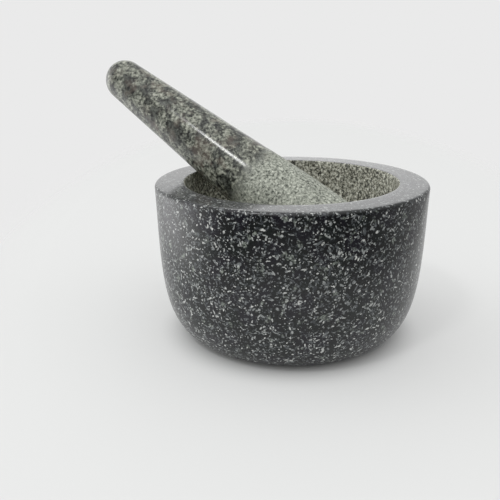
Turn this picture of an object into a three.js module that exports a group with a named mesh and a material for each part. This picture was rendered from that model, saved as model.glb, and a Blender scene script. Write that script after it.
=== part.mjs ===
// Granite mortar and pestle: a thick bowl turned from one block of dark granite, and a
// pestle turned from a bar of grey granite, leaning in the bowl.
// Millimetres, +Z up. The origin is on the bowl's axis, on the flat face that it stands on.

import * as THREE from 'three';

// --- Bowl: driving dimensions ------------------------------------------------------
const BOWL_DIAMETER = 150;
const BOWL_HEIGHT = 87;
const FOOT_DIAMETER = 96; // flat underside that the bowl stands on
const MOUTH_DIAMETER = 117.4; // inner edge of the flat rim
const WALL_LEAN_DEGREES = 2.2; // the outer wall leans inwards as it goes down
const WALL_FULLNESS = 42; // how far down the wall stays nearly straight
const BASE_FULLNESS = 28.5; // how far the underside runs out flat before it turns up
const OUTER_EDGE_RADIUS = 1.7; // rounded edge between the rim and the outer wall
const INNER_EDGE_RADIUS = 1; // rounded edge between the rim and the hollow
const HOLLOW_DEPTH = 60;
const HOLLOW_STRAIGHT = 14; // upper part of the hollow, before its floor curves in
const HOLLOW_LEAN_DEGREES = 2;

// --- Pestle: driving dimensions ----------------------------------------------------
const HANDLE_END_RADIUS = 12; // round cap at the top of the handle
const HEAD_RADIUS = 21.3; // widest ring of the grinding head
const HEAD_DOME_LENGTH = 20; // from the widest ring to the end of the head
const HEAD_SWELL_LENGTH = 47; // from the widest ring to where the straight taper starts
const TAPER_LENGTH = 113; // straight taper, up to the centre of the round cap
const TAPER_DEGREES = 3.9; // angle between the taper and the pestle's axis

// --- How the pestle leans ----------------------------------------------------------
const LEAN_AZIMUTH_DEGREES = 155.9; // the way that the handle points, seen from above
const RISE_DEGREES = 31.1; // angle of the pestle's axis above the horizontal
const CROSSING_DEPTH = 15.9; // the pestle's axis meets the bowl's axis this far below the rim
const HEAD_BEYOND_CROSSING = 50.8; // from that crossing to the end of the head

// --- Fineness of the turned surfaces -----------------------------------------------
const BOWL_SEGMENTS = 72;
const PESTLE_SEGMENTS = 40;
const WALL_STEPS = 18;
const HOLLOW_STEPS = 14;
const EDGE_STEPS = 3;
const DOME_STEPS = 9;
const SWELL_STEPS = 5;
const CAP_STEPS = 8;

const QUARTER_TURN = Math.PI / 2;
const ON_AXIS = 1e-9; // a profile point nearer to the axis than this is on it
const radians = THREE.MathUtils.degToRad;

// Points of an ellipse's arc about a centre, without its first point. Angles in radians.
function ellipseArc(centreX, centreY, radiusX, radiusY, fromAngle, toAngle, steps) {
  const points = [];
  for (let step = 1; step <= steps; step += 1) {
    const angle = fromAngle + ((toAngle - fromAngle) * step) / steps;
    const x = centreX + radiusX * Math.cos(angle);
    const y = centreY + radiusY * Math.sin(angle);
    points.push(new THREE.Vector2(x < ON_AXIS ? 0 : x, y));
  }
  return points;
}

// A rounded edge: a quarter circle about a centre, without its first point.
function roundedEdge(centreX, centreY, radius, fromAngle) {
  return ellipseArc(centreX, centreY, radius, radius, fromAngle, fromAngle + QUARTER_TURN, EDGE_STEPS);
}

// Turns a profile (radius, height along the axis) about +Z.
function turn(profile, segments) {
  const geometry = new THREE.LatheGeometry(profile, segments);
  geometry.rotateX(QUARTER_TURN);
  return geometry;
}

// The outer wall: one smooth curve that leaves the foot flat and reaches the rim's edge
// nearly upright.
function outerWall() {
  const footRadius = FOOT_DIAMETER / 2;
  const rimRadius = BOWL_DIAMETER / 2;
  const wallTop = BOWL_HEIGHT - OUTER_EDGE_RADIUS;
  const lean = radians(WALL_LEAN_DEGREES);
  const wallPull = new THREE.Vector2(
    rimRadius - WALL_FULLNESS * Math.sin(lean),
    wallTop - WALL_FULLNESS * Math.cos(lean),
  );
  const curve = new THREE.CubicBezierCurve(
    new THREE.Vector2(footRadius, 0),
    new THREE.Vector2(footRadius + BASE_FULLNESS, 0),
    wallPull,
    new THREE.Vector2(rimRadius, wallTop),
  );
  return curve.getPoints(WALL_STEPS);
}

// The rim: the outer rounded edge, the flat ring, and the inner rounded edge.
function rim() {
  const outer = BOWL_DIAMETER / 2 - OUTER_EDGE_RADIUS;
  const inner = MOUTH_DIAMETER / 2 + INNER_EDGE_RADIUS;
  return [
    ...roundedEdge(outer, BOWL_HEIGHT - OUTER_EDGE_RADIUS, OUTER_EDGE_RADIUS, 0),
    new THREE.Vector2(inner, BOWL_HEIGHT),
    ...roundedEdge(inner, BOWL_HEIGHT - INNER_EDGE_RADIUS, INNER_EDGE_RADIUS, QUARTER_TURN),
  ];
}

// The hollow: a short leaning wall, then a quarter ellipse down to the middle of the floor.
function hollow() {
  const floorHeight = BOWL_HEIGHT - HOLLOW_DEPTH;
  const bendHeight = BOWL_HEIGHT - HOLLOW_STRAIGHT;
  const bendRadius = MOUTH_DIAMETER / 2 - HOLLOW_STRAIGHT * Math.tan(radians(HOLLOW_LEAN_DEGREES));
  const curveHeight = bendHeight - floorHeight;
  const curve = ellipseArc(0, bendHeight, bendRadius, curveHeight, 0, -QUARTER_TURN, HOLLOW_STEPS);
  return [new THREE.Vector2(bendRadius, bendHeight), ...curve];
}

function makeBowl() {
  const profile = [new THREE.Vector2(0, 0), ...outerWall(), ...rim(), ...hollow()];
  const granite = new THREE.MeshStandardMaterial({ color: 0x3a3f3f, roughness: 0.22, metalness: 0 });
  const bowl = new THREE.Mesh(turn(profile, BOWL_SEGMENTS), granite);
  bowl.name = 'bowl';
  return bowl;
}

// The pestle's profile starts at the end of the head and ends at the tip of the handle,
// with its origin where its axis crosses the bowl's axis.
function pestleProfile() {
  const taper = radians(TAPER_DEGREES);
  const widest = HEAD_DOME_LENGTH - HEAD_BEYOND_CROSSING;
  const taperStart = widest + HEAD_SWELL_LENGTH;
  const capCentre = taperStart + TAPER_LENGTH;
  const dome = ellipseArc(0, widest, HEAD_RADIUS, HEAD_DOME_LENGTH, -QUARTER_TURN, 0, DOME_STEPS);
  const swell = [];
  for (let step = 1; step <= SWELL_STEPS; step += 1) {
    const along = (HEAD_SWELL_LENGTH * step) / SWELL_STEPS;
    const drop = (Math.tan(taper) * along * along) / (2 * HEAD_SWELL_LENGTH);
    swell.push(new THREE.Vector2(HEAD_RADIUS - drop, widest + along));
  }
  const capRadius = HANDLE_END_RADIUS;
  const cap = ellipseArc(0, capCentre, capRadius, capRadius, taper, QUARTER_TURN, CAP_STEPS);
  const capStart = new THREE.Vector2(
    capRadius * Math.cos(taper),
    capCentre + capRadius * Math.sin(taper),
  );
  return [new THREE.Vector2(0, -HEAD_BEYOND_CROSSING), ...dome, ...swell, capStart, ...cap];
}

// The lean turns the pestle from upright down towards +X, then round to its azimuth.
function makeLeaningPestle() {
  const granite = new THREE.MeshStandardMaterial({ color: 0x7c8079, roughness: 0.35, metalness: 0 });
  const pestle = new THREE.Mesh(turn(pestleProfile(), PESTLE_SEGMENTS), granite);
  pestle.name = 'pestle';
  pestle.rotation.y = QUARTER_TURN - radians(RISE_DEGREES);
  const lean = new THREE.Group();
  lean.position.z = BOWL_HEIGHT - CROSSING_DEPTH;
  lean.rotation.z = radians(LEAN_AZIMUTH_DEGREES);
  lean.add(pestle);
  return lean;
}

const mortarAndPestle = new THREE.Group();
mortarAndPestle.add(makeBowl(), makeLeaningPestle());

export default mortarAndPestle;
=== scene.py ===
import math

import bpy
import numpy as np
from mathutils import Matrix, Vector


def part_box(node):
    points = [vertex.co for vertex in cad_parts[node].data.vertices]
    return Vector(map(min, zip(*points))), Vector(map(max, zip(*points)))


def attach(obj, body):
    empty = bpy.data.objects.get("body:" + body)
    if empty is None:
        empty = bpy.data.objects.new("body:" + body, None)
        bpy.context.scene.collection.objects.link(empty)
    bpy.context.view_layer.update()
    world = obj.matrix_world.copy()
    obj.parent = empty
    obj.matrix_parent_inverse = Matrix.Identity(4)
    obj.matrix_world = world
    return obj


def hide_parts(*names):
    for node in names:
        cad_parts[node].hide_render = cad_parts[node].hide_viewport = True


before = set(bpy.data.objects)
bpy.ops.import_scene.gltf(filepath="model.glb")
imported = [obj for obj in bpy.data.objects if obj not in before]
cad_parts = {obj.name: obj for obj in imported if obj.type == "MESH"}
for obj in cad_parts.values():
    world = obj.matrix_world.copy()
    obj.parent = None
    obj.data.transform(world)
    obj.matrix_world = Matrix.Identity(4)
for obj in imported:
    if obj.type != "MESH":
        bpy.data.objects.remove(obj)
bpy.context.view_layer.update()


# ------------------------------------------------------------------------------------
# The bowl. It is one block of dark gabbro, which the stone trade sells as black granite,
# turned on a lathe. Its outside and flat rim are polished, and its hollow is left rough
# from the grinding wheel, so that it grips what is crushed in it.
# ------------------------------------------------------------------------------------

MM = 0.001
bowl_low, bowl_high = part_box("bowl")
RIM_RADIUS = (bowl_high.x - bowl_low.x) / 2
BOWL_HEIGHT = bowl_high.z - bowl_low.z
FOOT_RADIUS = 48 * MM
MOUTH_RADIUS = 58.7 * MM
WALL_LEAN = math.radians(2.2)
WALL_FULLNESS = 42 * MM
BASE_FULLNESS = 28.5 * MM
OUTER_EDGE = 1.7 * MM
INNER_EDGE = 1 * MM
HOLLOW_DEPTH = 60 * MM
HOLLOW_STRAIGHT = 14 * MM
HOLLOW_LEAN = math.radians(2)

BOWL_TURN_STEPS = 480
FOOT_STEPS = 8
WALL_STEPS = 60
OUTER_EDGE_STEPS = 7
RIM_STEPS = 6
INNER_EDGE_STEPS = 6
HOLLOW_WALL_STEPS = 18
HOLLOW_FLOOR_STEPS = 90
GROUND_RELIEF = 0.16 * MM  # how deep the grinding wheel's pits are
GROUND_PIT = 2.6 * MM  # how far apart they are
FINE_PITS = 0.6  # how deep the pits of half that size are beside them
PIT_FADE_STEPS = 6  # how many points of the outline the pits take to reach their full depth
INNER_EDGE_GROUND = 5  # how many of the inner edge's points are ground with the hollow


def arc(centre, radii, start, end, steps):
    """Points centre + (radii x cos angle, radii y sin angle), for equal steps of angle from start to
    end, without the first point."""
    angle = np.linspace(start, end, steps + 1)[1:]
    return np.stack([centre[0] + radii[0] * np.cos(angle), centre[1] + radii[1] * np.sin(angle)], -1)


def cubic(points, steps):
    """The cubic Bezier curve of four points: each point times its Bernstein weight at a share t of
    the way along, for equal steps of t, without the first point."""
    share = np.linspace(0, 1, steps + 1)[1:, None]
    weights = [(1 - share) ** 3, 3 * share * (1 - share) ** 2, 3 * share**2 * (1 - share), share**3]
    return sum(weight * np.array(point) for weight, point in zip(weights, points))


def straight(start, end, steps):
    """Points start + (end - start) times t, for equal steps of t, without the first point."""
    share = np.linspace(0, 1, steps + 1)[1:, None]
    return np.array(start) + (np.array(end) - np.array(start)) * share


def value_noise(points, grain, seed):
    """Smooth noise from -1 to 1: every corner of a cubic grid of size grain has a hashed value, and a
    point takes the eased mix of the eight corners round it."""
    place = points / grain
    cell = np.floor(place).astype(np.int64)
    share = place - cell
    share = share * share * (3 - 2 * share)
    total = np.zeros(points.shape[:-1])
    for corner in np.ndindex(2, 2, 2):
        key = (cell + np.array(corner)) @ np.array([73856093, 19349663, 83492791]) + seed * 2654435761
        key = (key ^ (key >> 13)) * 1274126177
        value = ((key ^ (key >> 16)) & 65535) / 32767.5 - 1
        weight = np.prod(np.where(np.array(corner) == 1, share, 1 - share), axis=-1)
        total += weight * value
    return total


def turned_grid(profile, steps):
    """A profile (radius, height) carried round the Z axis: the point at angle a is
    (radius cos a, radius sin a, height), for equal steps of a in a full turn."""
    angle = np.arange(steps) * (2 * math.pi / steps)
    radius, height = profile[:, 0, None], profile[:, 1, None]
    return np.stack([radius * np.cos(angle), radius * np.sin(angle), height + 0 * angle], -1)


def turned_mesh(name, grid, first_pole, last_pole, ground):
    """A closed mesh of a grid of rings: quads between rings, and a fan from each pole to the ring
    next to it. The share that is rough ground is kept as a point attribute."""
    rings, steps = grid.shape[:2]
    points = np.concatenate([grid.reshape(-1, 3), [first_pole, last_pole]])
    ring = np.arange(rings - 1)[:, None] * steps
    here = np.arange(steps)[None, :]
    after = (here + 1) % steps
    quads = np.stack([ring + here, ring + after, ring + steps + after, ring + steps + here], -1)
    around = np.arange(steps)
    beside = (around + 1) % steps
    top = (rings - 1) * steps
    first_fan = np.stack([np.full(steps, rings * steps), beside, around], -1)
    last_fan = np.stack([np.full(steps, rings * steps + 1), top + around, top + beside], -1)
    mesh = bpy.data.meshes.new(name)
    faces = quads.reshape(-1, 4).tolist() + first_fan.tolist() + last_fan.tolist()
    mesh.from_pydata(points, [], faces)
    mesh.polygons.foreach_set("use_smooth", np.ones(len(faces), dtype=bool))
    attribute = mesh.attributes.new("ground", "FLOAT", "POINT")
    attribute.data.foreach_set("value", ground.astype(np.float32))
    mesh.update()
    piece = bpy.data.objects.new(name, mesh)
    bpy.context.scene.collection.objects.link(piece)
    return piece


def bowl_profile():
    """The bowl's outline from the middle of the foot, up the wall, over the rim and down the hollow
    to the middle of its floor, and for each point the share that is rough ground."""
    wall_top = BOWL_HEIGHT - OUTER_EDGE
    pull_in, pull_down = WALL_FULLNESS * math.sin(WALL_LEAN), WALL_FULLNESS * math.cos(WALL_LEAN)
    pull = (RIM_RADIUS - pull_in, wall_top - pull_down)
    wall = [(FOOT_RADIUS, 0), (FOOT_RADIUS + BASE_FULLNESS, 0), pull, (RIM_RADIUS, wall_top)]
    outer_centre = (RIM_RADIUS - OUTER_EDGE, wall_top)
    inner_centre = (MOUTH_RADIUS + INNER_EDGE, BOWL_HEIGHT - INNER_EDGE)
    rim_start, rim_end = (outer_centre[0], BOWL_HEIGHT), (inner_centre[0], BOWL_HEIGHT)
    bend_height = BOWL_HEIGHT - HOLLOW_STRAIGHT
    bend_radius = MOUTH_RADIUS - HOLLOW_STRAIGHT * math.tan(HOLLOW_LEAN)
    hollow_radii = (bend_radius, HOLLOW_DEPTH - HOLLOW_STRAIGHT)
    quarter = math.pi / 2
    polished = np.concatenate([
        straight((0, 0), (FOOT_RADIUS, 0), FOOT_STEPS),
        cubic(wall, WALL_STEPS),
        arc(outer_centre, (OUTER_EDGE, OUTER_EDGE), 0, quarter, OUTER_EDGE_STEPS),
        straight(rim_start, rim_end, RIM_STEPS),
        arc(inner_centre, (INNER_EDGE, INNER_EDGE), quarter, math.pi, INNER_EDGE_STEPS),
    ])
    rough = np.concatenate([
        straight((MOUTH_RADIUS, inner_centre[1]), (bend_radius, bend_height), HOLLOW_WALL_STEPS),
        arc((0, bend_height), hollow_radii, 0, -quarter, HOLLOW_FLOOR_STEPS),
    ])
    ground = np.concatenate([np.zeros(len(polished)), np.ones(len(rough))])
    ground[len(polished) - INNER_EDGE_GROUND : len(polished)] = 1
    return np.concatenate([polished, rough]), ground


def make_bowl():
    """The turned outline, with the hollow moved along its normals by two sizes of noise."""
    profile, ground = bowl_profile()
    profile, ground = profile[:-1], ground[:-1]
    grid = turned_grid(profile, BOWL_TURN_STEPS)
    slope = np.gradient(profile, axis=0)
    outward = np.stack([slope[:, 1], -slope[:, 0]], -1)
    outward /= np.linalg.norm(outward, axis=-1, keepdims=True)
    normals = turned_grid(outward, BOWL_TURN_STEPS)
    pits = value_noise(grid, GROUND_PIT, 1) + FINE_PITS * value_noise(grid, GROUND_PIT / 2, 2)
    fade = np.clip(np.cumsum(ground) / PIT_FADE_STEPS, 0, 1) * ground
    grid += normals * (pits * fade[:, None] * GROUND_RELIEF)[..., None]
    shares = np.concatenate([np.repeat(ground, BOWL_TURN_STEPS), [0, 1]])
    floor_height = BOWL_HEIGHT - HOLLOW_DEPTH
    return turned_mesh("bowl_stone", grid, (0, 0, 0), (0, 0, floor_height), shares)


def linear(hex_colour):
    """A colour given as sRGB hex, turned to linear light, with full alpha."""
    shares = [int(hex_colour[i : i + 2], 16) / 255 for i in (0, 2, 4)]
    light = [s / 12.92 if s <= 0.04045 else ((s + 0.055) / 1.055) ** 2.4 for s in shares]
    return (*light, 1)


def add_node(tree, kind, settings, inputs):
    """Adds a node with its settings, a colour ramp's stops among them, and its inputs. An input takes
    a value, a node's socket, or a node, which stands for the first socket that it gives out."""
    node = tree.nodes.new(kind)
    for name, value in settings.items():
        if name == "stops":
            while len(node.color_ramp.elements) < len(value):
                node.color_ramp.elements.new(0.5)
            for element, (place, hex_colour) in zip(node.color_ramp.elements, value):
                element.position, element.color = place, linear(hex_colour)
        else:
            setattr(node, name, value)
    for name, value in inputs.items():
        if isinstance(value, bpy.types.Node):
            value = next(socket for socket in value.outputs if socket.enabled)
        if isinstance(value, bpy.types.NodeSocket):
            tree.links.new(value, node.inputs[name])
        else:
            node.inputs[name].default_value = value
    return node


def new_material(name):
    """An empty node material and its node tree."""
    material = bpy.data.materials.new(name)
    material.use_nodes = True
    material.node_tree.nodes.clear()
    return material, material.node_tree


def stone_place(tree, grain, push):
    """A place in the stone in millimetres, pushed about by noise so that no crystal is ruled."""
    coordinates = add_node(tree, "ShaderNodeTexCoord", {}, {})
    place = add_node(tree, "ShaderNodeVectorMath", {"operation": "SCALE"},
                     {0: coordinates.outputs["Object"], "Scale": 1 / MM})
    noise = add_node(tree, "ShaderNodeTexNoise", {}, {"Vector": place, "Scale": 1 / grain, "Detail": 1.0})
    centred = add_node(tree, "ShaderNodeVectorMath", {"operation": "SUBTRACT"},
                       {0: noise.outputs["Color"], 1: (0.5, 0.5, 0.5)})
    pushed = add_node(tree, "ShaderNodeVectorMath", {"operation": "SCALE"}, {0: centred, "Scale": push})
    return add_node(tree, "ShaderNodeVectorMath", {"operation": "ADD"}, {0: place, 1: pushed})


def stone_noise(tree, place, grain, detail, roughness, shift):
    """Cloudy variation of the stone, with a grain in millimetres. The shift keeps layers apart."""
    moved = add_node(tree, "ShaderNodeVectorMath", {"operation": "ADD"},
                     {0: place, 1: (shift, shift, shift)})
    return add_node(tree, "ShaderNodeTexNoise", {},
                    {"Vector": moved, "Scale": 1 / grain, "Detail": detail, "Roughness": roughness})


def crystal_plates(tree, place, cell, half_sizes, share, shift):
    """Flat crystals, one to a cell of the stone: in each cell an ellipsoid of these half sizes, in
    millimetres, is turned at random about its own centre. Where the surface cuts a plate, it shows
    as a lath. Gives the plates' mask, and a random value for each plate."""
    moved = add_node(tree, "ShaderNodeVectorMath", {"operation": "ADD"},
                     {0: place, 1: (shift, 2 * shift, 3 * shift)})
    scaled = add_node(tree, "ShaderNodeVectorMath", {"operation": "SCALE"}, {0: moved, "Scale": 1 / cell})
    cells = add_node(tree, "ShaderNodeTexVoronoi", {}, {"Vector": scaled, "Scale": 1.0})
    offset = add_node(tree, "ShaderNodeVectorMath", {"operation": "SUBTRACT"},
                      {0: scaled, 1: cells.outputs["Position"]})
    angles = add_node(tree, "ShaderNodeVectorMath", {"operation": "SCALE"},
                      {0: cells.outputs["Color"], "Scale": 2 * math.pi})
    turned = add_node(tree, "ShaderNodeVectorRotate", {"rotation_type": "EULER_XYZ"},
                      {"Vector": offset, "Rotation": angles})
    stretched = add_node(tree, "ShaderNodeVectorMath", {"operation": "MULTIPLY"},
                         {0: turned, 1: tuple(cell / half for half in half_sizes)})
    reach = add_node(tree, "ShaderNodeVectorMath", {"operation": "LENGTH"}, {0: stretched})
    inside = add_node(tree, "ShaderNodeMapRange", {"interpolation_type": "SMOOTHSTEP"},
                      {"Value": reach, "From Min": 0.75, "From Max": 1.2, "To Min": 1.0, "To Max": 0.0})
    dice = add_node(tree, "ShaderNodeTexWhiteNoise", {}, {"Vector": cells.outputs["Position"]})
    kept = add_node(tree, "ShaderNodeMath", {"operation": "LESS_THAN"}, {0: dice, 1: share})
    mask = add_node(tree, "ShaderNodeMath", {"operation": "MULTIPLY"}, {0: inside, 1: kept})
    tone = add_node(tree, "ShaderNodeSeparateColor", {}, {0: dice.outputs["Color"]})
    return mask, tone.outputs[1]


# Feldspar plates of the gabbro, from long thin laths to specks: the size of the cell that holds one,
# its half sizes, and the share of cells that have one. Sizes in millimetres.
FELDSPAR_PLATES = (
    (5.0, (2.3, 0.32, 1.4), 0.85),
    (3.6, (1.6, 0.36, 1.1), 0.85),
    (3.2, (1.2, 0.44, 0.9), 0.8),
    (2.6, (1.1, 0.32, 0.8), 0.85),
    (2.1, (0.8, 0.38, 0.6), 0.75),
    (1.6, (0.6, 0.3, 0.45), 0.75),
    (1.2, (0.42, 0.24, 0.34), 0.65),
)
FELDSPAR_TONES = ((0.0, "2d3034"), (0.45, "5d6163"), (0.8, "969a99"), (1.0, "d6d8d4"))
# How coarse the gabbro's patterns are, and how far its crystals are pushed about, in millimetres.
PYROXENE_GRAIN = 0.9
HUE_PATCH = 11
CROWDING_PATCH = 7
CLOT_PATCH = 4.5
CRUSHED_GRAIN = 1.5
GABBRO_PUSH_GRAIN = 1.4
GABBRO_PUSH = 0.7
# How rough the polished wall is, how much less the rim is, and how much more the hollow is.
WALL_ROUGHNESS = 0.25
RIM_GLOSS = 0.12
HOLLOW_ROUGHNESS = 0.5
# How strongly the flat rim is greyed by painted sheen, which stands in for its pale reflection.
RIM_PAINTED_SHEEN = 0.4
GABBRO_IOR = 1.48


def turned_gabbro():
    """Polished gabbro: near-black pyroxene, thick with pale feldspar laths at every angle, and a few
    greenish clots of them. The polish gives a dark wet depth, and a pale sheen where the surface
    turns away. On the flat rim a painted sheen greys the crystals, standing in for its pale
    reflection. The ground hollow is the same stone crushed at its face: pale, olive and matt."""
    material, tree = new_material("turned_gabbro")
    place = stone_place(tree, GABBRO_PUSH_GRAIN, GABBRO_PUSH)
    mottle = stone_noise(tree, place, PYROXENE_GRAIN, 3.0, 0.6, 0)
    dark = add_node(tree, "ShaderNodeValToRGB",
                    {"stops": ((0.36, "08090a"), (0.5, "121314"), (0.66, "262829"))}, {"Fac": mottle})
    tint = stone_noise(tree, place, HUE_PATCH, 1.0, 0.5, 50)
    hue = add_node(tree, "ShaderNodeValToRGB",
                   {"stops": ((0.36, "121a18"), (0.5, "121314"), (0.64, "181422"))}, {"Fac": tint})
    colour = add_node(tree, "ShaderNodeMix", {"data_type": "RGBA"}, {0: 0.5, 6: dark, 7: hue})
    thickness = stone_noise(tree, place, CROWDING_PATCH, 2.0, 0.6, 90)
    crowding = add_node(tree, "ShaderNodeMapRange", {},
                        {"Value": thickness, "From Min": 0.35, "From Max": 0.65,
                         "To Min": 0.55, "To Max": 1.25})
    for number, (cell, half_sizes, share) in enumerate(FELDSPAR_PLATES):
        local = add_node(tree, "ShaderNodeMath", {"operation": "MULTIPLY"}, {0: crowding, 1: share})
        mask, tone = crystal_plates(tree, place, cell, half_sizes, local, 7.3 * number)
        feldspar = add_node(tree, "ShaderNodeValToRGB", {"stops": FELDSPAR_TONES}, {"Fac": tone})
        colour = add_node(tree, "ShaderNodeMix", {"data_type": "RGBA"}, {0: mask, 6: colour, 7: feldspar})
    clot = stone_noise(tree, place, CLOT_PATCH, 2.0, 0.55, 130)
    clot_share = add_node(tree, "ShaderNodeMapRange", {"interpolation_type": "SMOOTHSTEP"},
                          {"Value": clot, "From Min": 0.62, "From Max": 0.72, "To Min": 0.0, "To Max": 0.8})
    clot_grain = add_node(tree, "ShaderNodeValToRGB",
                          {"stops": ((0.4, "2f3532"), (0.52, "7b827b"), (0.62, "a3aaa0"))}, {"Fac": mottle})
    colour = add_node(tree, "ShaderNodeMix", {"data_type": "RGBA"},
                      {0: clot_share, 6: colour, 7: clot_grain})
    object_place = add_node(tree, "ShaderNodeTexCoord", {}, {}).outputs["Object"]
    height = add_node(tree, "ShaderNodeSeparateXYZ", {}, {0: object_place}).outputs["Z"]
    rim_start, rim_full = BOWL_HEIGHT - 0.4 * MM, BOWL_HEIGHT - 0.1 * MM
    on_rim = add_node(tree, "ShaderNodeMapRange", {},
                      {"Value": height, "From Min": rim_start, "From Max": rim_full,
                       "To Min": 0.0, "To Max": 1.0})
    # Painted sheen: the flat rim is mixed towards a pale grey, standing in for the reflection that lightens
    # it.
    painted_rim_sheen = add_node(tree, "ShaderNodeMath", {"operation": "MULTIPLY"}, {0: on_rim, 1: RIM_PAINTED_SHEEN})
    colour = add_node(tree, "ShaderNodeMix", {"data_type": "RGBA"},
                      {0: painted_rim_sheen, 6: colour, 7: linear("4a4c4d")})
    dust = stone_noise(tree, place, CRUSHED_GRAIN, 3.0, 0.75, 170)
    crushed = add_node(tree, "ShaderNodeValToRGB",
                       {"stops": ((0.39, "22221c"), (0.47, "848476"), (0.55, "bcbcac"), (0.63, "fcfcf0"))},
                       {"Fac": dust})
    hollow = add_node(tree, "ShaderNodeMix", {"data_type": "RGBA"}, {0: 0.2, 6: crushed, 7: colour})
    ground = add_node(tree, "ShaderNodeAttribute", {"attribute_name": "ground"}, {}).outputs["Fac"]
    colour = add_node(tree, "ShaderNodeMix", {"data_type": "RGBA"}, {0: ground, 6: colour, 7: hollow})
    polished = add_node(tree, "ShaderNodeMath", {"operation": "MULTIPLY_ADD"},
                        {0: on_rim, 1: -RIM_GLOSS, 2: WALL_ROUGHNESS})
    roughness = add_node(tree, "ShaderNodeMath", {"operation": "MULTIPLY_ADD"},
                         {0: ground, 1: HOLLOW_ROUGHNESS, 2: polished})
    relief = add_node(tree, "ShaderNodeMath", {"operation": "MULTIPLY"}, {0: dust, 1: ground})
    bump = add_node(tree, "ShaderNodeBump", {}, {"Height": relief, "Distance": 0.3 * MM, "Strength": 0.8})
    shader = add_node(tree, "ShaderNodeBsdfPrincipled", {},
                      {"Base Color": colour, "Roughness": roughness, "Normal": bump, "IOR": GABBRO_IOR})
    add_node(tree, "ShaderNodeOutputMaterial", {}, {"Surface": shader})
    return material


bowl = make_bowl()
bowl.data.materials.append(turned_gabbro())
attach(bowl, "bowl_body")
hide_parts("bowl")


# ------------------------------------------------------------------------------------
# The pestle. It is one bar of grey-green granite, turned with a slight taper. The handle
# and its round cap are polished, and the swelling head is left matt from grinding. It
# leans on the inner edge of the rim with its head on the floor of the hollow.
# ------------------------------------------------------------------------------------

HANDLE_END_RADIUS = 12 * MM
HEAD_RADIUS = 21.3 * MM
HEAD_DOME = 20 * MM
HEAD_SWELL = 47 * MM
TAPER_LENGTH = 113 * MM
TAPER = math.radians(3.9)
LEAN_AZIMUTH = math.radians(155.9)
RISE = math.radians(31.1)
CROSSING_DEPTH = 15.9 * MM
HEAD_BEYOND_CROSSING = 50.8 * MM
POLISH_START = 77 * MM  # from the end of the head to where the polish starts
POLISH_EDGE = 9 * MM  # how far the polish takes to come in
POLISH_WANDER = 1.5 * MM  # how far its edge strays to and fro
POLISH_WANDER_LENGTH = 9 * MM

PESTLE_TURN_STEPS = 288
DOME_STEPS = 40
SWELL_STEPS = 40
TAPER_STEPS = 90
CAP_STEPS = 30


def pestle_profile():
    """The pestle's outline from the end of its head to the tip of its handle: a quarter ellipse, a
    parabola that flattens into the head's widest ring, a straight taper and a round cap."""
    quarter = math.pi / 2
    taper_start = HEAD_DOME + HEAD_SWELL
    cap_centre = taper_start + TAPER_LENGTH
    along = np.linspace(0, HEAD_SWELL, SWELL_STEPS + 1)[1:]
    drop = math.tan(TAPER) * along**2 / (2 * HEAD_SWELL)
    swell = np.stack([HEAD_RADIUS - drop, HEAD_DOME + along], -1)
    cap_start = (HANDLE_END_RADIUS * math.cos(TAPER), cap_centre + HANDLE_END_RADIUS * math.sin(TAPER))
    cap_radii = (HANDLE_END_RADIUS, HANDLE_END_RADIUS)
    return np.concatenate([
        arc((0, HEAD_DOME), (HEAD_RADIUS, HEAD_DOME), -quarter, 0, DOME_STEPS),
        swell,
        straight(swell[-1], cap_start, TAPER_STEPS),
        arc((0, cap_centre), cap_radii, TAPER, quarter, CAP_STEPS),
    ])


def lean(points):
    """Points of the upright pestle, moved so that its axis crosses the bowl's axis at the origin,
    tipped from +Z down towards +X, turned to its azimuth, and raised to the crossing."""
    upright = points - np.array([0, 0, HEAD_BEYOND_CROSSING])
    across = np.array([math.sin(RISE), 0, -math.cos(RISE)])
    along = np.array([math.cos(RISE), 0, math.sin(RISE)])
    sideways = np.array([0, 1, 0])
    tipped = upright[..., 0:1] * across + upright[..., 1:2] * sideways + upright[..., 2:3] * along
    cos, sin = math.cos(LEAN_AZIMUTH), math.sin(LEAN_AZIMUTH)
    turn_round = np.array([[cos, -sin, 0], [sin, cos, 0], [0, 0, 1]])
    return tipped @ turn_round.T + np.array([0, 0, BOWL_HEIGHT - CROSSING_DEPTH])


def make_pestle():
    """The turned outline, leaning, with the share that is ground falling from 1 at the head to 0."""
    profile = pestle_profile()
    tip = profile[-1, 1]
    profile = profile[:-1]
    grid = turned_grid(profile, PESTLE_TURN_STEPS)
    wander = value_noise(grid, POLISH_WANDER_LENGTH, 3) * POLISH_WANDER
    past = (grid[..., 2] + wander - POLISH_START) / POLISH_EDGE
    ground = np.clip(0.5 - past, 0, 1)
    shares = np.concatenate([ground.ravel(), [1, 0]])
    poles = lean(np.array([[0, 0, 0], [0, 0, tip]]))
    return turned_mesh("pestle_stone", lean(grid), poles[0], poles[1], shares)


# How coarse the granite's patterns are, and how far its grains are pushed about, in millimetres.
GRANITE_GRAIN = 1.9
DARK_PATCH = 8
RUST_PATCH = 8
SCRATCHED_GRAIN = 1.3
GRANITE_PUSH_GRAIN = 2.2
GRANITE_PUSH = 1.6
HANDLE_ROUGHNESS = 0.16
HEAD_ROUGHNESS = 0.7
GRANITE_IOR = 1.44


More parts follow.
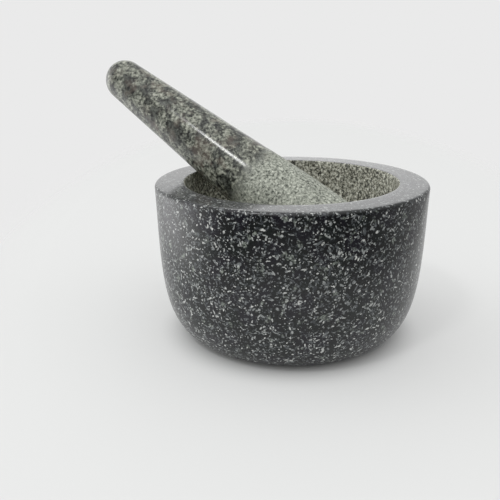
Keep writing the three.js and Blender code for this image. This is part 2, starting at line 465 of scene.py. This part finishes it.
def turned_granite():
    """Grey-green granite: pale feldspar and quartz with dark hornblende in soft-edged patches, laid so
    that they also darken the handle's lower flank as painted shade, and a little rust in the handle.
    Polished it is deeper and glossy, and ground it is pale, even and matt."""
    material, tree = new_material("turned_granite")
    place = stone_place(tree, GRANITE_PUSH_GRAIN, GRANITE_PUSH)
    grain = stone_noise(tree, place, GRANITE_GRAIN, 4.0, 0.65, 0)
    body = add_node(tree, "ShaderNodeValToRGB",
                    {"stops": ((0.36, "181a17"), (0.45, "585b52"), (0.54, "8a8d81"), (0.68, "c0c2b4"))},
                    {"Fac": grain})
    # Dark patches: hornblende, but their shift of 88 lays them along the handle's lower flank, so there
    # they are partly painted shade.
    patch = stone_noise(tree, place, DARK_PATCH, 4.0, 0.65, 88)
    patch_and_shade_share = add_node(tree, "ShaderNodeMapRange", {"interpolation_type": "SMOOTHSTEP"},
                           {"Value": patch, "From Min": 0.46, "From Max": 0.56,
                            "To Min": 0.0, "To Max": 0.85})
    dark = add_node(tree, "ShaderNodeValToRGB",
                    {"stops": ((0.4, "0e100f"), (0.62, "4a4e4a"))}, {"Fac": grain})
    polished = add_node(tree, "ShaderNodeMix", {"data_type": "RGBA"}, {0: patch_and_shade_share, 6: body, 7: dark})
    rust = stone_noise(tree, place, RUST_PATCH, 2.0, 0.5, 80)
    rust_share = add_node(tree, "ShaderNodeMapRange", {"interpolation_type": "SMOOTHSTEP"},
                          {"Value": rust, "From Min": 0.5, "From Max": 0.7, "To Min": 0.0, "To Max": 0.35})
    polished = add_node(tree, "ShaderNodeMix", {"data_type": "RGBA"},
                        {0: rust_share, 6: polished, 7: linear("77695f")})
    scratched = stone_noise(tree, place, SCRATCHED_GRAIN, 3.0, 0.65, 120)
    matt = add_node(tree, "ShaderNodeValToRGB",
                    {"stops": ((0.36, "484c45"), (0.46, "8e9288"), (0.56, "aaaea2"), (0.68, "d9dcd0"))},
                    {"Fac": scratched})
    ground = add_node(tree, "ShaderNodeAttribute", {"attribute_name": "ground"}, {}).outputs["Fac"]
    colour = add_node(tree, "ShaderNodeMix", {"data_type": "RGBA"}, {0: ground, 6: polished, 7: matt})
    roughness = add_node(tree, "ShaderNodeMapRange", {},
                         {"Value": ground, "To Min": HANDLE_ROUGHNESS, "To Max": HEAD_ROUGHNESS})
    relief = add_node(tree, "ShaderNodeMath", {"operation": "MULTIPLY"}, {0: scratched, 1: ground})
    bump = add_node(tree, "ShaderNodeBump", {}, {"Height": relief, "Distance": 0.15 * MM, "Strength": 0.6})
    shader = add_node(tree, "ShaderNodeBsdfPrincipled", {},
                      {"Base Color": colour, "Roughness": roughness, "Normal": bump, "IOR": GRANITE_IOR})
    add_node(tree, "ShaderNodeOutputMaterial", {}, {"Surface": shader})
    return material


pestle = make_pestle()
pestle.data.materials.append(turned_granite())
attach(pestle, "pestle_body")
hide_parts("pestle")


# ------------------------------------------------------------------------------------
# The stage. A pale matt table in a pale surround, one lamp in front, to the left and
# above, and the camera. The table thins out into the surround, so that neither has an
# edge. Its front and sides are short, so the polished wall mirrors a darker room there.
# The table also has a painted glow of its own, which pales its shadows but is held back
# close round the bowl's foot.
# ------------------------------------------------------------------------------------

TABLE_MIDDLE = (0.0, 0.4)
TABLE_RADIUS = 1.1
TABLE_RINGS = 24
TABLE_TURN_STEPS = 96
TABLE_NARROWING = 2.5  # how much sooner the table thins out across than along
TABLE_FADE_START = 0.56
TABLE_FADE_END = 0.74
TABLE_GLOW = 0.27  # how bright the table's own painted glow is, which lifts the shadows on it
TABLE_GLOW_START = 0.05  # from the bowl's axis
TABLE_GLOW_FULL = 0.078


def make_table():
    """A flat disc: the points (r cos a, r sin a, 0) about its middle, for rings r and equal steps of a."""
    rings = straight((0, 0), (TABLE_RADIUS, 0), TABLE_RINGS)
    grid = turned_grid(rings, TABLE_TURN_STEPS) + np.array([*TABLE_MIDDLE, 0])
    steps = grid.shape[1]
    points = np.concatenate([[(*TABLE_MIDDLE, 0)], grid.reshape(-1, 3)])
    ring = 1 + np.arange(len(rings) - 1)[:, None] * steps
    here = np.arange(steps)[None, :]
    after = (here + 1) % steps
    quads = np.stack([ring + here, ring + steps + here, ring + steps + after, ring + after], -1)
    fan = np.stack([np.zeros(steps, int), 1 + here[0], 1 + after[0]], -1)
    mesh = bpy.data.meshes.new("table")
    mesh.from_pydata(points, [], fan.tolist() + quads.reshape(-1, 4).tolist())
    piece = bpy.data.objects.new("table", mesh)
    bpy.context.scene.collection.objects.link(piece)
    return piece


def table_with_painted_glow():
    """Matt pale sheet with a painted glow of its own all round the bowl, which keeps broad shadows
    pale and leaves the shade at the bowl's foot dark. It thins out to nothing far from the middle."""
    material, tree = new_material("table_with_painted_glow")
    place = add_node(tree, "ShaderNodeTexCoord", {}, {}).outputs["Object"]
    offset = add_node(tree, "ShaderNodeVectorMath", {"operation": "SUBTRACT"},
                      {0: place, 1: (*TABLE_MIDDLE, 0)})
    narrowed = add_node(tree, "ShaderNodeVectorMath", {"operation": "MULTIPLY"},
                        {0: offset, 1: (TABLE_NARROWING, 1, 1)})
    distance = add_node(tree, "ShaderNodeVectorMath", {"operation": "LENGTH"}, {0: narrowed})
    fade = add_node(tree, "ShaderNodeMapRange", {"interpolation_type": "SMOOTHSTEP"},
                    {"Value": distance, "From Min": TABLE_FADE_START, "From Max": TABLE_FADE_END,
                     "To Min": 1.0, "To Max": 0.0})
    from_bowl = add_node(tree, "ShaderNodeVectorMath", {"operation": "LENGTH"}, {0: place})
    # Painted glow: the table gives off light of its own, though it is no lamp, to lift its shadows; it
    # fades out close round the bowl's foot so the shade there stays dark.
    glow = add_node(tree, "ShaderNodeMapRange", {"interpolation_type": "SMOOTHSTEP"},
                    {"Value": from_bowl, "From Min": TABLE_GLOW_START, "From Max": TABLE_GLOW_FULL,
                     "To Min": 0.0, "To Max": TABLE_GLOW})
    shader = add_node(tree, "ShaderNodeBsdfPrincipled", {},
                      {"Base Color": linear("bbbcbb"), "Roughness": 0.9, "Specular IOR Level": 0.1,
                       "Emission Color": linear("ffffff"), "Emission Strength": glow, "Alpha": fade})
    add_node(tree, "ShaderNodeOutputMaterial", {}, {"Surface": shader})
    return material


table = make_table()
table.data.materials.append(table_with_painted_glow())

SURROUND_SEEN = "eaeaea"
SURROUND_BASE = 0.04
# Each glow of the surround: the way it lies, its brightness, and how narrow it is. They lie behind,
# on the left, on the right, overhead, and in front and above.
GLOWS = (
    ((0.0, 1.0, 0.12), 1.2, 6.0),
    ((-1.0, 0.25, -0.05), 2.9, 6.0),
    ((1.0, 0.3, 0.0), 0.5, 4.0),
    ((-0.05, -0.25, 1.0), 1.3, 1.3),
    ((-0.2, -1.0, 1.2), 0.15, 6.0),
)


def light_surround():
    """The world's light: an even base, plus glows that fall off as a power of the cosine from the
    way that each lies. The camera sees one plain pale grey in its place."""
    world = bpy.data.worlds.new("surround")
    bpy.context.scene.world = world
    world.use_nodes = True
    tree = world.node_tree
    tree.nodes.clear()
    way = add_node(tree, "ShaderNodeTexCoord", {}, {}).outputs["Generated"]
    total = SURROUND_BASE
    for toward, brightness, power in GLOWS:
        length = math.sqrt(sum(part * part for part in toward))
        unit = tuple(part / length for part in toward)
        cosine = add_node(tree, "ShaderNodeVectorMath", {"operation": "DOT_PRODUCT"}, {0: way, 1: unit})
        facing = add_node(tree, "ShaderNodeMath", {"operation": "MAXIMUM"}, {0: cosine, 1: 0.0})
        narrowed = add_node(tree, "ShaderNodeMath", {"operation": "POWER"}, {0: facing, 1: power})
        total = add_node(tree, "ShaderNodeMath", {"operation": "MULTIPLY_ADD"},
                         {0: narrowed, 1: brightness, 2: total})
    light = add_node(tree, "ShaderNodeCombineColor", {}, {0: total, 1: total, 2: total})
    rays = add_node(tree, "ShaderNodeLightPath", {}, {})
    colour = add_node(tree, "ShaderNodeMix", {"data_type": "RGBA"},
                      {0: rays.outputs["Is Camera Ray"], 6: light, 7: linear(SURROUND_SEEN)})
    background = add_node(tree, "ShaderNodeBackground", {}, {"Color": colour})
    add_node(tree, "ShaderNodeOutputWorld", {}, {"Surface": background})


light_surround()

LAMP_AZIMUTH = math.radians(-123)
LAMP_ELEVATION = math.radians(50)
LAMP_DISTANCE = 1.4
LAMP_WIDTH = 0.2
LAMP_HEIGHT = 0.16
LAMP_POWER = 2.8


def make_lamp():
    """A rectangular lamp that faces the middle of the bowl's mouth."""
    lamp = bpy.data.lights.new("lamp", "AREA")
    lamp.shape = "RECTANGLE"
    lamp.size, lamp.size_y = LAMP_WIDTH, LAMP_HEIGHT
    lamp.energy = LAMP_POWER
    level = math.cos(LAMP_ELEVATION)
    toward_x, toward_y = math.cos(LAMP_AZIMUTH) * level, math.sin(LAMP_AZIMUTH) * level
    back = np.array([toward_x, toward_y, math.sin(LAMP_ELEVATION)])
    right = np.cross([0, 0, 1], back)
    right /= np.linalg.norm(right)
    up = np.cross(back, right)
    matrix = np.eye(4)
    matrix[:3] = np.stack([right, up, back, np.array([0, 0, BOWL_HEIGHT]) + back * LAMP_DISTANCE], -1)
    holder = bpy.data.objects.new("lamp", lamp)
    holder.matrix_world = Matrix(matrix.tolist())
    bpy.context.scene.collection.objects.link(holder)


make_lamp()

CAMERA_DISTANCE = 0.35  # from the middle of the rim
CAMERA_ELEVATION = math.radians(11.67)
CAMERA_YAW = math.radians(-3.84)
CAMERA_PITCH = math.radians(18.17)
CAMERA_ROLL = math.radians(-0.44)
CAMERA_LENS = 44.9
CAMERA_SENSOR = 36


def make_camera():
    """A camera in front of the bowl and above its rim, which looks down and a little to the left."""
    data = bpy.data.cameras.new("camera")
    data.sensor_width = CAMERA_SENSOR
    data.lens = CAMERA_LENS
    level = math.cos(CAMERA_PITCH)
    ahead = np.array([math.sin(CAMERA_YAW) * level, math.cos(CAMERA_YAW) * level, -math.sin(CAMERA_PITCH)])
    right = np.cross(ahead, [0, 0, 1])
    right /= np.linalg.norm(right)
    up = np.cross(right, ahead)
    cos, sin = math.cos(CAMERA_ROLL), math.sin(CAMERA_ROLL)
    rolled_right, rolled_up = cos * right + sin * up, cos * up - sin * right
    forward = -CAMERA_DISTANCE * math.cos(CAMERA_ELEVATION)
    height = BOWL_HEIGHT + CAMERA_DISTANCE * math.sin(CAMERA_ELEVATION)
    matrix = np.eye(4)
    matrix[:3] = np.stack([rolled_right, rolled_up, -ahead, (0, forward, height)], -1)
    camera = bpy.data.objects.new("camera", data)
    camera.matrix_world = Matrix(matrix.tolist())
    bpy.context.scene.collection.objects.link(camera)
    bpy.context.scene.camera = camera


make_camera()
bpy.context.scene.view_settings.view_transform = "Standard"
